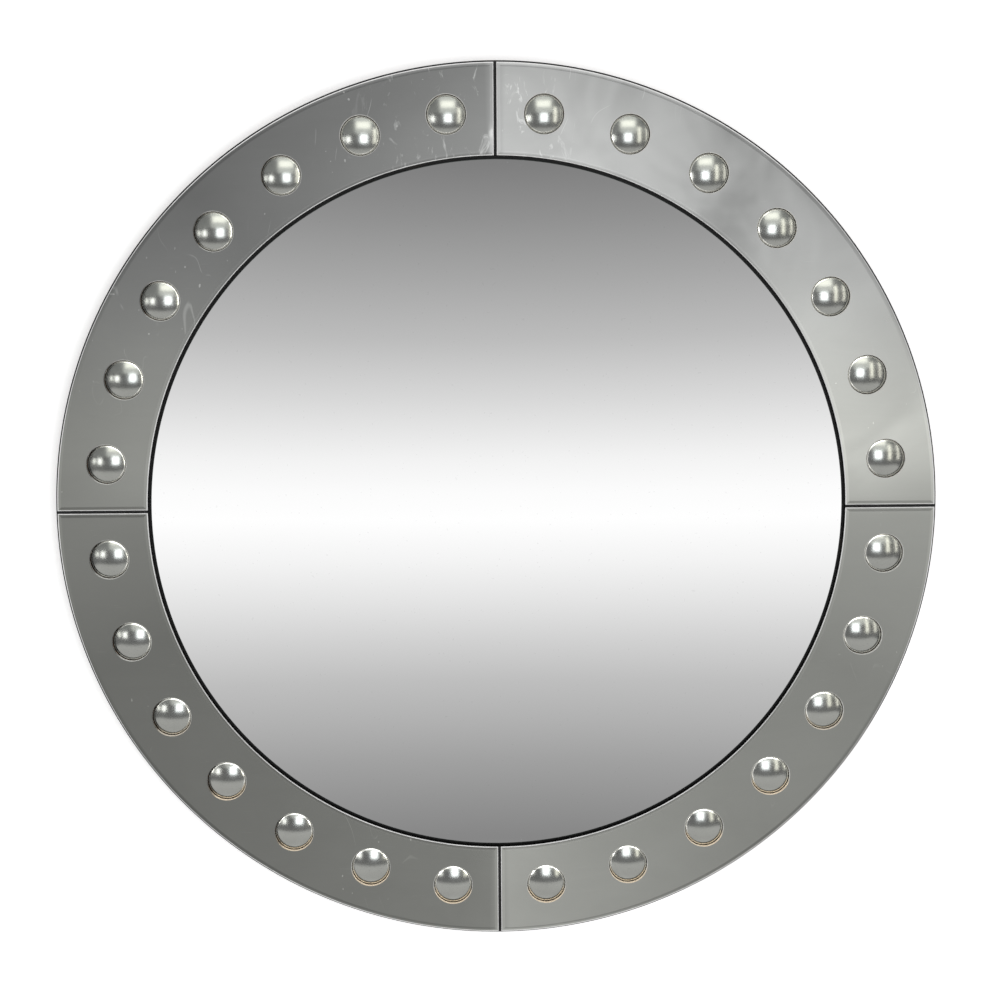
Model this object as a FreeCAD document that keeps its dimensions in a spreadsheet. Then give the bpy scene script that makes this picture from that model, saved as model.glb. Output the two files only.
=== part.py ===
"""Round convex butler's mirror: a convex centre glass in a border of four polished steel plates,
each pierced by a row of round holes with a small convex mirror in every hole.

Millimetres. The mirror faces -Y and hangs on the wall plane y = 0, with +Z up and the origin on
the mirror's axis. Depths below are distances from the wall, measured towards the viewer.
"""
import FreeCAD, Part
import math
import os

import Sketcher

os.makedirs("parts", exist_ok=True)

# ---------------------------------------------------------------- driving dimensions

DIMENSIONS = [
    # wooden ring and what stands behind it
    ("wall_gap", 9.0, "height of the rubber feet that rest on the wall"),
    ("panel_inset", 8.0, "hardboard back smaller in radius than the wooden ring"),
    ("panel_thickness", 4.0, "thickness of the hardboard back"),
    ("board_radius", 450.0, "outer radius of the wooden ring"),
    ("board_width", 114.0, "from the bore of the wooden ring to its outside"),
    ("board_thickness", 15.0, "thickness of the wooden ring"),
    ("rebate_depth", 6.0, "depth of the seat cut for the centre glass"),
    ("rebate_clearance", 0.5, "seat wall outside the plates' inner edge"),
    # steel border
    ("plate_margin", 1.8, "painted wood left showing outside the plates"),
    ("plate_width", 91.7, "from the inner edge of the border to its outer edge"),
    ("plate_thickness", 3.0, "thickness of the border plates"),
    ("plate_joint", 2.0, "gap between neighbouring plates"),
    ("bevel_width", 4.0, "width of the bevel round each plate"),
    ("bevel_drop", 1.0, "how far the bevel falls at the plate's edge"),
    ("tape_thickness", 1.0, "thickness of the bonding tape"),
    ("tape_width", 20.0, "width of each strip of bonding tape"),
    ("tape_length", 66.0, "length of each strip, along the radius"),
    # wells and the small mirrors
    ("well_inset", 50.0, "circle of wells smaller in radius than the wooden ring"),
    ("well_pitch", 12.66, "angle between neighbouring wells of one plate, degrees"),
    ("well_diameter", 40.0, "hole in the plate"),
    ("well_step", 0.5, "the wood's recess is this much larger in radius than the plate's hole"),
    ("well_depth", 3.0, "depth of each recess in the wood"),
    ("small_glass_clearance", 0.6, "small mirror's rim to the wood's recess"),
    ("small_glass_curve", 55.0, "front radius of curvature of a small mirror"),
    ("small_glass_edge", 2.0, "thickness of a small mirror at its rim"),
    ("pad_thickness", 1.0, "thickness of the foam pad behind a small mirror"),
    ("pad_side", 22.0, "side of the square pad behind a small mirror"),
    # centre glass
    ("glass_gap", 3.0, "gap between the centre glass and the plates"),
    ("glass_thickness", 4.0, "thickness of the centre glass"),
    ("glass_curve", 1500.0, "front radius of curvature of the centre glass"),
    ("glass_pad_thickness", 3.0, "thickness of the bonding pads under the glass's rim"),
    ("glass_pad_depth", 8.0, "size of such a pad along the radius"),
    ("glass_pad_length", 26.0, "size of such a pad along the rim"),
    # rubber feet
    ("foot_base_diameter", 24.0, "on the hardboard"),
    ("foot_face_diameter", 19.0, "against the wall"),
    # strap hangers
    ("strap_width", 14.0, "width of a hanger's strap"),
    ("strap_thickness", 1.5, "thickness of a hanger's strap"),
    ("strap_length", 48.0, "from the ring's pin line to the strap's foot"),
    ("strap_corner", 3.0, "corner cut off the strap's foot"),
    ("first_screw", 10.5, "from the ring's pin line to the upper strap screw"),
    ("second_screw", 38.0, "from the ring's pin line to the lower strap screw"),
    ("screw_diameter", 3.5, "shank of a strap screw"),
    ("screw_fit", 0.3, "strap's hole larger than the shank, in diameter"),
    ("screw_length", 16.0, "under the head"),
    ("pan_diameter", 7.0, "head of a strap screw"),
    ("pan_height", 2.2, "head of a strap screw"),
    ("ring_stock", 2.5, "square section of the hanging ring"),
    ("ring_play", 0.35, "play of the ring's pin in the strap's eye, at its corners"),
    ("eye_lip", 25.0, "how far the eye's end curls back below the pin, degrees"),
    ("ring_half_width", 13.0, "middle of the section, to the ring's centre line"),
    ("ring_corner", 4.0, "bend beside the ring's pin"),
    ("ring_drop", 12.0, "from the pin line to the start of the ring's round end"),
]

PLATES_ROUND = 4
WELLS_PER_PLATE = 7
WELL_STEPS = [number - WELLS_PER_PLATE // 2 for number in range(WELLS_PER_PLATE)]
TAPE_STEPS = [step + 0.5 for step in WELL_STEPS[:-1]]  # one strip in each gap between two wells
GLASS_PADS = 16
PLATE_HOLE_FLAT_COUNT = 24  # the holes are drawn as this many flats, each touching the named circle
WELL_FLAT_COUNT = 16
QUARTERS = ["upper_right", "upper_left", "lower_left", "lower_right"]
QUARTER_TURN = 90  # degrees from one joint to the next
MIDDLE_WELL = QUARTER_TURN / 2  # degrees from a joint
HANGER_GAP = 0.5  # wells from the middle of the plate to the gap between two wells that holds a hanger
FOOT_GAP = -0.5
TOUCHING = 1e-4  # millimetres within which two places are the same

doc = FreeCAD.newDocument("ButlersMirror")
dims = doc.addObject("Spreadsheet::Sheet", "Dims")
for row, (alias, size, note) in enumerate(DIMENSIONS, start=1):
    dims.set(f"A{row}", alias.replace("_", " "))
    dims.set(f"B{row}", str(size))
    dims.setAlias(f"B{row}", alias)
    dims.set(f"C{row}", note)
doc.recompute()

# Places along the depth, from the wall towards the viewer.
PANEL_BACK = "Dims.wall_gap"
PANEL_FRONT = f"({PANEL_BACK} + Dims.panel_thickness)"
BOARD_FRONT = f"({PANEL_FRONT} + Dims.board_thickness)"
PLATE_BACK = f"({BOARD_FRONT} + Dims.tape_thickness)"
PLATE_FRONT = f"({PLATE_BACK} + Dims.plate_thickness)"
SEAT = f"({BOARD_FRONT} - Dims.rebate_depth)"
GLASS_BACK = f"({SEAT} + Dims.glass_pad_thickness)"
WELL_FLOOR = f"({BOARD_FRONT} - Dims.well_depth)"
SMALL_GLASS_BACK = f"({WELL_FLOOR} + Dims.pad_thickness)"
SMALL_GLASS_RIM = f"({SMALL_GLASS_BACK} + Dims.small_glass_edge)"

# Radii that follow from a neighbour and a clearance.
PANEL_RADIUS = "(Dims.board_radius - Dims.panel_inset)"
BOARD_BORE_RADIUS = "(Dims.board_radius - Dims.board_width)"
PLATE_RADIUS = "(Dims.board_radius - Dims.plate_margin)"
PLATE_BORE_RADIUS = f"({PLATE_RADIUS} - Dims.plate_width)"
WELL_CIRCLE_RADIUS = "(Dims.board_radius - Dims.well_inset)"
GLASS_RADIUS = f"({PLATE_BORE_RADIUS} - Dims.glass_gap)"
SEAT_RADIUS = f"({PLATE_BORE_RADIUS} + Dims.rebate_clearance)"
PLATE_HOLE_RADIUS = "(Dims.well_diameter / 2)"
BOARD_HOLE_RADIUS = f"({PLATE_HOLE_RADIUS} + Dims.well_step)"
SMALL_GLASS_RADIUS = f"({BOARD_HOLE_RADIUS} - Dims.small_glass_clearance)"
SCREW_HOLE_RADIUS = "((Dims.screw_diameter + Dims.screw_fit) / 2)"
EYE_BORE = "(Dims.ring_stock / sqrt(2) + Dims.ring_play)"
EYE_RADIUS = f"({EYE_BORE} + Dims.strap_thickness)"
PIN_DEPTH = f"({PANEL_BACK} - {EYE_RADIUS})"


def value(expression):
    """Number that an expression on the sheet has now."""
    result = dims.evalExpression(expression)
    return float(getattr(result, "Value", result))


def polar(radius, angle):
    """Expressions for the X and Z of a point on a circle about the mirror's axis."""
    return f"{radius} * cos({angle})", f"{radius} * sin({angle})"


def well_angle(quarter, step):
    """Expression for a place in a plate's row of wells, counted from its middle well."""
    return f"{QUARTER_TURN * quarter + MIDDLE_WELL} + ({step}) * Dims.well_pitch"


# ---------------------------------------------------------------- sketch helpers

def new_body(label):
    body = doc.addObject("PartDesign::Body", label)
    body.Label = label
    return body


def new_sketch(body, role, name, depth=None):
    """Sketch on one of a body's own origin planes, moved along the plane's normal to a depth."""
    sketch = body.newObject("Sketcher::SketchObject", name)
    plane = next(item for item in body.Origin.OriginFeatures if item.Role == role)
    sketch.AttachmentSupport = [(plane, "")]
    sketch.MapMode = "FlatFace"
    if depth is not None:
        sketch.setExpression("AttachmentOffset.Base.z", depth)
    return sketch


def drive(sketch, kind, references, expression):
    """Dimension in a sketch, bound to an expression on the sheet."""
    index = sketch.addConstraint(Sketcher.Constraint(kind, *references, value(expression)))
    sketch.setExpression(f"Constraints[{index}]", expression)


def pin_down(sketch, geometry, end, across, up):
    """Holds a point of a sketch at two expressions, each measured from the origin."""
    for kind, axis, expression in (("DistanceX", -2, across), ("DistanceY", -1, up)):
        size = value(expression)
        if abs(size) < TOUCHING:
            sketch.addConstraint(Sketcher.Constraint("PointOnObject", geometry, end, axis))
        elif size > 0:
            drive(sketch, kind, (-1, 1, geometry, end), expression)
        else:
            drive(sketch, kind, (geometry, end, -1, 1), f"-({expression})")


def draw_circle(sketch, radius, across="0", up="0"):
    centre = FreeCAD.Vector(value(across), value(up), 0)
    index = sketch.addGeometry(Part.Circle(centre, FreeCAD.Vector(0, 0, 1), value(radius)))
    drive(sketch, "Radius", (index,), radius)
    if across == "0" and up == "0":
        sketch.addConstraint(Sketcher.Constraint("Coincident", index, 3, -1, 1))
    else:
        pin_down(sketch, index, 3, across, up)


def draw_flats(sketch, flats, radius, across, up):
    """Regular outline of flats that touch a circle from outside."""
    size, turn = value(radius), 2 * math.pi / flats
    centre = FreeCAD.Vector(value(across), value(up), 0)
    reach = size / math.cos(turn / 2)
    ways = [FreeCAD.Vector(math.cos(turn * number), math.sin(turn * number), 0) for number in range(flats)]
    corners = [centre + way * reach for way in ways]
    ends = zip(corners, corners[1:] + corners[:1])
    lines = [sketch.addGeometry(Part.LineSegment(start, end)) for start, end in ends]
    circle = sketch.addGeometry(Part.Circle(centre, FreeCAD.Vector(0, 0, 1), size), True)
    held = [Sketcher.Constraint("Tangent", line, circle) for line in lines]
    held += [Sketcher.Constraint("Coincident", line, 2, following, 1)
             for line, following in zip(lines, lines[1:] + lines[:1])]
    held += [Sketcher.Constraint("Equal", lines[0], line) for line in lines[1:-1]]
    held.append(Sketcher.Constraint("Angle", lines[0], (math.pi + turn) / 2))
    sketch.addConstraint(held)
    drive(sketch, "Radius", (circle,), radius)
    pin_down(sketch, circle, 3, across, up)


def draw_arc(sketch, centre, radius, start, end):
    """Arc from its centre, radius and end angles in degrees, as numbers; returns its index."""
    circle = Part.Circle(FreeCAD.Vector(*centre, 0), FreeCAD.Vector(0, 0, 1), radius)
    return sketch.addGeometry(Part.ArcOfCircle(circle, math.radians(start), math.radians(end)))


# ---------------------------------------------------------------- feature helpers

def pad(body, sketch, length, name="Pad"):
    feature = body.newObject("PartDesign::Pad", name)
    feature.Profile = sketch
    feature.setExpression("Length", length)
    return feature


def pocket(body, sketch, depth, towards_viewer, name="Pocket"):
    """Cut from the sketch's plane, towards the wall or towards the viewer."""
    feature = body.newObject("PartDesign::Pocket", name)
    feature.Profile = sketch
    feature.Reversed = towards_viewer
    feature.setExpression("Length", depth)
    return feature


def repeat_round(body, original, axis_sketch, count, spread):
    """Copies of a feature about the mirror's axis, over an angle that the whole row spans."""
    pattern = body.newObject("PartDesign::PolarPattern", "PolarPattern")
    pattern.Originals = [original]
    pattern.Axis = (axis_sketch, ["N_Axis"])
    pattern.Occurrences = count
    pattern.setExpression("Angle", spread)
    body.Tip = pattern
    return pattern


def group(label, pieces):
    """Several separate solids kept as one node."""
    compound = doc.addObject("Part::Compound", label)
    compound.Label = label
    compound.Links = pieces
    return compound


def combine(kind, label, pieces):
    """Fusion of a list of pieces, or the first of two cut by or held within the second."""
    result = doc.addObject(kind, label)
    result.Label = label
    if kind == "Part::MultiFuse":
        result.Shapes = pieces
    else:
        result.Base, result.Tool = pieces
    return result


def stand(kind, label, sizes, depth, across="0", up="0"):
    """Primitive whose own Z axis points towards the viewer, its foot at a depth from the wall."""
    piece = doc.addObject(kind, label)
    for name, expression in sizes.items():
        piece.setExpression(name, expression)
    facing = FreeCAD.Rotation(FreeCAD.Vector(1, 0, 0), 90)
    piece.Placement = FreeCAD.Placement(FreeCAD.Vector(), facing)
    piece.setExpression("Placement.Base.x", across)
    piece.setExpression("Placement.Base.y", f"-({depth})")
    piece.setExpression("Placement.Base.z", up)
    return piece


def lay_radial(label, angle, start, along, across, depth, thickness):
    """Flat rectangular piece that points away from the mirror's axis at an angle."""
    piece = doc.addObject("Part::Box", label)
    piece.setExpression("Length", along)
    piece.setExpression("Width", thickness)
    piece.setExpression("Height", across)
    turn = FreeCAD.Rotation(FreeCAD.Vector(0, -1, 0), value(angle))
    piece.Placement = FreeCAD.Placement(FreeCAD.Vector(), turn)
    half = f"({across}) / 2"
    piece.setExpression("Placement.Rotation.Angle", angle)
    piece.setExpression("Placement.Base.x", f"({start}) * cos({angle}) + {half} * sin({angle})")
    piece.setExpression("Placement.Base.y", f"-({depth} + {thickness})")
    piece.setExpression("Placement.Base.z", f"({start}) * sin({angle}) - {half} * cos({angle})")
    return piece


def ball(label, radius, across, depth, up):
    """Sphere whose centre lies at a depth, behind the wall plane when that is negative."""
    piece = doc.addObject("Part::Sphere", label)
    piece.setExpression("Radius", radius)
    piece.setExpression("Placement.Base.x", across)
    piece.setExpression("Placement.Base.y", f"-({depth})")
    piece.setExpression("Placement.Base.z", up)
    return piece


# ---------------------------------------------------------------- where things stand on the back

def mirrored(radius, angle, signs):
    """Places at one angle of the upper right quarter, copied by sign to other quarters."""
    across, up = polar(radius, angle)
    return [(f"{side} * {across}", f"{height} * {up}") for side, height in signs]


HANGER_ANGLE = f"({MIDDLE_WELL} - {HANGER_GAP} * Dims.well_pitch)"
FOOT_ANGLE = f"({MIDDLE_WELL} - {FOOT_GAP} * Dims.well_pitch)"
HANGER_PLACES = mirrored(WELL_CIRCLE_RADIUS, HANGER_ANGLE, [(-1, 1), (1, 1)])
FOOT_SIGNS = [(-1, 1), (1, 1), (-1, -1), (1, -1)]
FOOT_PLACES = mirrored(WELL_CIRCLE_RADIUS, FOOT_ANGLE, FOOT_SIGNS)
STRAP_SCREWS = [
    (across, f"({up} - {drop})")
    for across, up in HANGER_PLACES
    for drop in ("Dims.first_screw", "Dims.second_screw")
]


# ---------------------------------------------------------------- wooden ring and hardboard back

def make_ring_board():
    """Ring with a stepped bore for the glass and a row of round recesses for the small mirrors."""
    thickness = "Dims.board_thickness"
    blank_sizes = {"Radius": "Dims.board_radius", "Height": thickness}
    bore_sizes = {"Radius": BOARD_BORE_RADIUS, "Height": thickness}
    seat_sizes = {"Radius": SEAT_RADIUS, "Height": "Dims.rebate_depth"}
    blank = stand("Part::Cylinder", "Blank", blank_sizes, PANEL_FRONT)
    cuts = [
        stand("Part::Cylinder", "Bore", bore_sizes, PANEL_FRONT),
        stand("Part::Cylinder", "Seat", seat_sizes, SEAT),
    ]
    corner = f"{BOARD_HOLE_RADIUS} / cos({180 / WELL_FLAT_COUNT})"
    well_sizes = {"Circumradius": corner, "Height": "Dims.well_depth"}
    for quarter in range(PLATES_ROUND):
        for step in WELL_STEPS:
            place = polar(WELL_CIRCLE_RADIUS, well_angle(quarter, step))
            well = stand("Part::Prism", "Well", well_sizes, WELL_FLOOR, *place)
            well.Polygon = WELL_FLAT_COUNT
            cuts.append(well)
    return combine("Part::Cut", "ring_board", [blank, combine("Part::MultiFuse", "BoardCuts", cuts)])


def make_back_panel():
    sizes = {"Radius": PANEL_RADIUS, "Height": "Dims.panel_thickness"}
    return stand("Part::Cylinder", "back_panel", sizes, PANEL_BACK)


# ---------------------------------------------------------------- steel border

def draw_quarter_ring(sketch, inner, outer, half_gap):
    """Quarter of a flat ring in the upper right, cut back from both joints by half a gap."""
    low, high, gap = value(inner), value(outer), value(half_gap)
    low_lean = math.degrees(math.asin(gap / low))
    high_lean = math.degrees(math.asin(gap / high))
    low_far = math.sqrt(low ** 2 - gap ** 2)
    high_far = math.sqrt(high ** 2 - gap ** 2)
    outer_arc = draw_arc(sketch, (0, 0), high, high_lean, QUARTER_TURN - high_lean)
    inner_arc = draw_arc(sketch, (0, 0), low, low_lean, QUARTER_TURN - low_lean)
    points = [(low_far, gap), (high_far, gap), (gap, high_far), (gap, low_far)]
    corners = [FreeCAD.Vector(x, y, 0) for x, y in points]
    level = sketch.addGeometry(Part.LineSegment(corners[0], corners[1]))
    upright = sketch.addGeometry(Part.LineSegment(corners[2], corners[3]))
    add = sketch.addConstraint
    add(Sketcher.Constraint("Coincident", inner_arc, 1, level, 1))
    add(Sketcher.Constraint("Coincident", level, 2, outer_arc, 1))
    add(Sketcher.Constraint("Coincident", outer_arc, 2, upright, 1))
    add(Sketcher.Constraint("Coincident", upright, 2, inner_arc, 2))
    add(Sketcher.Constraint("Coincident", outer_arc, 3, -1, 1))
    add(Sketcher.Constraint("Coincident", inner_arc, 3, -1, 1))
    add(Sketcher.Constraint("Horizontal", level))
    add(Sketcher.Constraint("Vertical", upright))
    drive(sketch, "Radius", (outer_arc,), outer)
    drive(sketch, "Radius", (inner_arc,), inner)
    drive(sketch, "DistanceY", (-1, 1, level, 1), half_gap)
    drive(sketch, "DistanceX", (-1, 1, upright, 1), half_gap)


def turn_to_quarter(piece, quarter):
    """Turns a piece drawn in the upper right quarter to another one, as the viewer sees it."""
    turn = FreeCAD.Rotation(FreeCAD.Vector(0, -1, 0), QUARTER_TURN * quarter)
    piece.Placement = FreeCAD.Placement(FreeCAD.Vector(), turn)


def edges_at_depth(shape, depth):
    """Names of a shape's edges that lie flat at one depth."""
    names = []
    for number, edge in enumerate(shape.Edges, start=1):
        box = edge.BoundBox
        if max(abs(box.YMin + depth), abs(box.YMax + depth)) < TOUCHING:
            names.append(f"Edge{number}")
    return names


def make_plate(quarter):
    body = new_body(f"steel_plate_{QUARTERS[quarter]}")
    outline = new_sketch(body, "XZ_Plane", "PlateSketch", PLATE_BACK)
    draw_quarter_ring(outline, PLATE_BORE_RADIUS, PLATE_RADIUS, "(Dims.plate_joint / 2)")
    blank = pad(body, outline, "Dims.plate_thickness")
    doc.recompute()

    bevel = body.newObject("PartDesign::Chamfer", "Bevel")
    bevel.Base = (blank, edges_at_depth(blank.Shape, value(PLATE_FRONT)))
    bevel.ChamferType = "Two distances"
    bevel.setExpression("Size", "Dims.bevel_drop")
    bevel.setExpression("Size2", "Dims.bevel_width")
    doc.recompute()

    hole = new_sketch(body, "XZ_Plane", "HoleSketch", PLATE_FRONT)
    first = polar(WELL_CIRCLE_RADIUS, well_angle(0, WELL_STEPS[0]))
    draw_flats(hole, PLATE_HOLE_FLAT_COUNT, PLATE_HOLE_RADIUS, *first)
    one_hole = pocket(body, hole, "Dims.plate_thickness", False)
    doc.recompute()
    repeat_round(body, one_hole, hole, WELLS_PER_PLATE, f"{WELLS_PER_PLATE - 1} * Dims.well_pitch")
    turn_to_quarter(body, quarter)
    return body


def make_tape(quarter):
    """Strips of bonding tape between the wells of one plate."""
    start = f"({WELL_CIRCLE_RADIUS} - Dims.tape_length / 2)"
    strips = [
        lay_radial("Strip", well_angle(quarter, step), start, "Dims.tape_length", "Dims.tape_width",
                   BOARD_FRONT, "Dims.tape_thickness")
        for step in TAPE_STEPS
    ]
    return group(f"tape_{QUARTERS[quarter]}", strips)


# ---------------------------------------------------------------- glass

def make_small_mirrors():
    """Flat-backed discs with a domed front, each a cylinder held within a ball."""
    domes = []
    sink = f"sqrt(Dims.small_glass_curve ^ 2 - {SMALL_GLASS_RADIUS} ^ 2)"
    sizes = {"Radius": SMALL_GLASS_RADIUS, "Height": "Dims.small_glass_curve"}
    for quarter in range(PLATES_ROUND):
        for step in WELL_STEPS:
            across, up = polar(WELL_CIRCLE_RADIUS, well_angle(quarter, step))
            sphere = ball("Ball", "Dims.small_glass_curve", across, f"{SMALL_GLASS_RIM} - {sink}", up)
            front = stand("Part::Cylinder", "Front", sizes, SMALL_GLASS_BACK, across, up)
            domes.append(combine("Part::Common", "Dome", [front, sphere]))
    return group("small_mirrors", domes)


def make_centre_glass():
    """Bent sheet of even thickness, between two balls about one centre."""
    inner_curve = "(Dims.glass_curve - Dims.glass_thickness)"
    centre = f"{GLASS_BACK} - sqrt({inner_curve} ^ 2 - {GLASS_RADIUS} ^ 2)"
    sizes = {"Radius": GLASS_RADIUS, "Height": "Dims.glass_curve - " + PANEL_BACK}
    column = stand("Part::Cylinder", "Column", sizes, PANEL_FRONT)
    dome = combine("Part::Common", "Dome", [column, ball("Front", "Dims.glass_curve", "0", centre, "0")])
    return combine("Part::Cut", "centre_glass", [dome, ball("Hollow", inner_curve, "0", centre, "0")])


def make_mirror_pads():
    start = f"({WELL_CIRCLE_RADIUS} - Dims.pad_side / 2)"
    pads = [
        lay_radial("Pad", well_angle(quarter, step), start, "Dims.pad_side", "Dims.pad_side",
                   WELL_FLOOR, "Dims.pad_thickness")
        for quarter in range(PLATES_ROUND)
        for step in WELL_STEPS
    ]
    return group("mirror_pads", pads)


def make_glass_pads():
    start = f"({GLASS_RADIUS} - Dims.glass_pad_depth)"
    pads = [
        lay_radial("Pad", f"{360 / GLASS_PADS * (number + 0.5)}", start, "Dims.glass_pad_depth",
                   "Dims.glass_pad_length", SEAT, "Dims.glass_pad_thickness")
        for number in range(GLASS_PADS)
    ]
    return group("glass_pads", pads)


# ---------------------------------------------------------------- rubber feet

def make_feet():
    """Tapered self-adhesive feet between the hardboard and the wall."""
    sizes = {
        "Radius1": "Dims.foot_face_diameter / 2",
        "Radius2": "Dims.foot_base_diameter / 2",
        "Height": PANEL_BACK,
    }
    return group("rubber_feet", [stand("Part::Cone", "Foot", sizes, "0", *place) for place in FOOT_PLACES])


# ---------------------------------------------------------------- strap hangers

def make_strap(side, place):
    """Steel strap whose upper end is rolled into an eye round the ring's pin."""
    body = new_body(f"hanger_strap_{side}")
    profile = new_sketch(body, "YZ_Plane", "StrapSketch")
    bore, eye, lip = value(EYE_BORE), value(EYE_RADIUS), value("Dims.eye_lip")
    back, length = -value(PANEL_BACK), value("Dims.strap_length")
    pin, face = back + eye, back + value("Dims.strap_thickness")
    outer = draw_arc(profile, (pin, 0), eye, -90 - lip, 180)
    inner = draw_arc(profile, (pin, 0), bore, -90 - lip, 180)
    reach = math.radians(-90 - lip)
    lip_way = FreeCAD.Vector(math.cos(reach), math.sin(reach), 0)
    lip_start, lip_end = [FreeCAD.Vector(pin, 0, 0) + lip_way * size for size in (eye, bore)]
    lip_line = profile.addGeometry(Part.LineSegment(lip_start, lip_end))
    corners = [(face, 0), (face, -length), (back, -length), (back, 0)]
    points = [FreeCAD.Vector(x, y, 0) for x, y in corners]
    face_line, foot_line, back_line = [
        profile.addGeometry(Part.LineSegment(start, end)) for start, end in zip(points, points[1:])]
    add = profile.addConstraint
    add(Sketcher.Constraint("Coincident", outer, 1, lip_line, 1))
    add(Sketcher.Constraint("Coincident", lip_line, 2, inner, 1))
    add(Sketcher.Constraint("Coincident", inner, 2, face_line, 1))
    add(Sketcher.Constraint("Coincident", face_line, 2, foot_line, 1))
    add(Sketcher.Constraint("Coincident", foot_line, 2, back_line, 1))
    add(Sketcher.Constraint("Coincident", back_line, 2, outer, 2))
    add(Sketcher.Constraint("Coincident", outer, 3, inner, 3))
    add(Sketcher.Constraint("PointOnObject", outer, 3, -1))
    add(Sketcher.Constraint("PointOnObject", outer, 2, -1))
    add(Sketcher.Constraint("PointOnObject", inner, 2, -1))
    add(Sketcher.Constraint("PointOnObject", outer, 3, lip_line))
    add(Sketcher.Constraint("Vertical", face_line))
    add(Sketcher.Constraint("Vertical", back_line))
    add(Sketcher.Constraint("Horizontal", foot_line))
    drive(profile, "Radius", (outer,), EYE_RADIUS)
    drive(profile, "Radius", (inner,), EYE_BORE)
    drive(profile, "DistanceX", (outer, 2, -1, 1), PANEL_BACK)
    drive(profile, "DistanceY", (foot_line, 2, -1, 1), "Dims.strap_length")
    drive(profile, "DistanceX", (outer, 1, outer, 3), f"{EYE_RADIUS} * sin(Dims.eye_lip)")
    strip = pad(body, profile, "Dims.strap_width")
    strip.SideType = "Symmetric"
    doc.recompute()

    foot_edges = []
    for number, edge in enumerate(strip.Shape.Edges, start=1):
        box = edge.BoundBox
        if box.ZMax < TOUCHING - length and box.XLength < TOUCHING:
            foot_edges.append(f"Edge{number}")
    clipped = body.newObject("PartDesign::Chamfer", "FootCorners")
    clipped.Base = (strip, foot_edges)
    clipped.setExpression("Size", "Dims.strap_corner")
    doc.recompute()

    holes = new_sketch(body, "XZ_Plane", "HoleSketch", f"({PANEL_BACK} - Dims.strap_thickness)")
    for drop in ("Dims.first_screw", "Dims.second_screw"):
        draw_circle(holes, SCREW_HOLE_RADIUS, "0", f"-{drop}")
    pocket(body, holes, "Dims.strap_thickness", True)
    body.setExpression("Placement.Base.x", place[0])
    body.setExpression("Placement.Base.z", place[1])
    return body


def make_screws():
    """Pan-headed screws that run through the straps and the hardboard into the wooden ring."""
    face = f"({PANEL_BACK} - Dims.strap_thickness)"
    head_sizes = {"Radius": "Dims.pan_diameter / 2", "Height": "Dims.pan_height"}
    shank_sizes = {"Radius": "Dims.screw_diameter / 2", "Height": "Dims.screw_length"}
    screws = []
    for place in STRAP_SCREWS:
        head = stand("Part::Cylinder", "Head", head_sizes, f"{face} - Dims.pan_height", *place)
        shank = stand("Part::Cylinder", "Shank", shank_sizes, face, *place)
        screws.append(combine("Part::MultiFuse", "Screw", [head, shank]))
    return group("hanger_screws", screws)


def draw_d(sketch, offset):
    """Closed outline of the ring, set off outwards from the middle of its section."""
    grow, half, corner, drop = [
        value(size) for size in (offset, "Dims.ring_half_width", "Dims.ring_corner", "Dims.ring_drop")]
    flat = half - corner

    def line(start, end):
        return sketch.addGeometry(Part.LineSegment(FreeCAD.Vector(*start, 0), FreeCAD.Vector(*end, 0)))

    pin = line((-flat, grow), (flat, grow))
    corner_right = draw_arc(sketch, (flat, -corner), corner + grow, 0, 90)
    side_right = line((half + grow, -corner), (half + grow, -drop))
    round_end = draw_arc(sketch, (0, -drop), half + grow, 180, 360)
    side_left = line((-half - grow, -drop), (-half - grow, -corner))
    corner_left = draw_arc(sketch, (-flat, -corner), corner + grow, 90, 180)
    sketch.addConstraint([
        Sketcher.Constraint("Tangent", pin, 2, corner_right, 2),
        Sketcher.Constraint("Tangent", corner_right, 1, side_right, 1),
        Sketcher.Constraint("Tangent", side_right, 2, round_end, 2),
        Sketcher.Constraint("Tangent", round_end, 1, side_left, 1),
        Sketcher.Constraint("Tangent", side_left, 2, corner_left, 2),
        Sketcher.Constraint("Tangent", corner_left, 1, pin, 1),
        Sketcher.Constraint("Horizontal", pin),
        Sketcher.Constraint("Vertical", side_right),
        Sketcher.Constraint("Vertical", side_left),
        Sketcher.Constraint("Equal", corner_right, corner_left),
        Sketcher.Constraint("PointOnObject", round_end, 3, -2),
    ])
    drive(sketch, "Radius", (corner_right,), f"Dims.ring_corner + {offset}")
    drive(sketch, "Radius", (round_end,), f"Dims.ring_half_width + {offset}")
    drive(sketch, "DistanceY", (round_end, 3, -1, 1), "Dims.ring_drop")
    drive(sketch, "DistanceY", (round_end, 3, pin, 1), f"Dims.ring_drop + {offset}")


def make_ring(side, place):
    """D-shaped ring of square section; its straight side is the pin in the strap's eye."""
    body = new_body(f"hanger_ring_{side}")
    outline = new_sketch(body, "XZ_Plane", "RingSketch", PIN_DEPTH)
    for offset in ("Dims.ring_stock / 2", "-Dims.ring_stock / 2"):
        draw_d(outline, offset)
    ring = pad(body, outline, "Dims.ring_stock")
    ring.SideType = "Symmetric"
    body.setExpression("Placement.Base.x", place[0])
    body.setExpression("Placement.Base.z", place[1])
    return body


# ---------------------------------------------------------------- the mirror

nodes = [make_ring_board(), make_back_panel(), make_centre_glass(), make_glass_pads()]
for quarter in range(PLATES_ROUND):
    nodes += [make_plate(quarter), make_tape(quarter)]
nodes += [make_small_mirrors(), make_mirror_pads(), make_feet(), make_screws()]
for side, place in zip(("left", "right"), HANGER_PLACES):
    nodes += [make_strap(side, place), make_ring(side, place)]
doc.recompute()

# ---------------------------------------------------------------- checks and files

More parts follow.
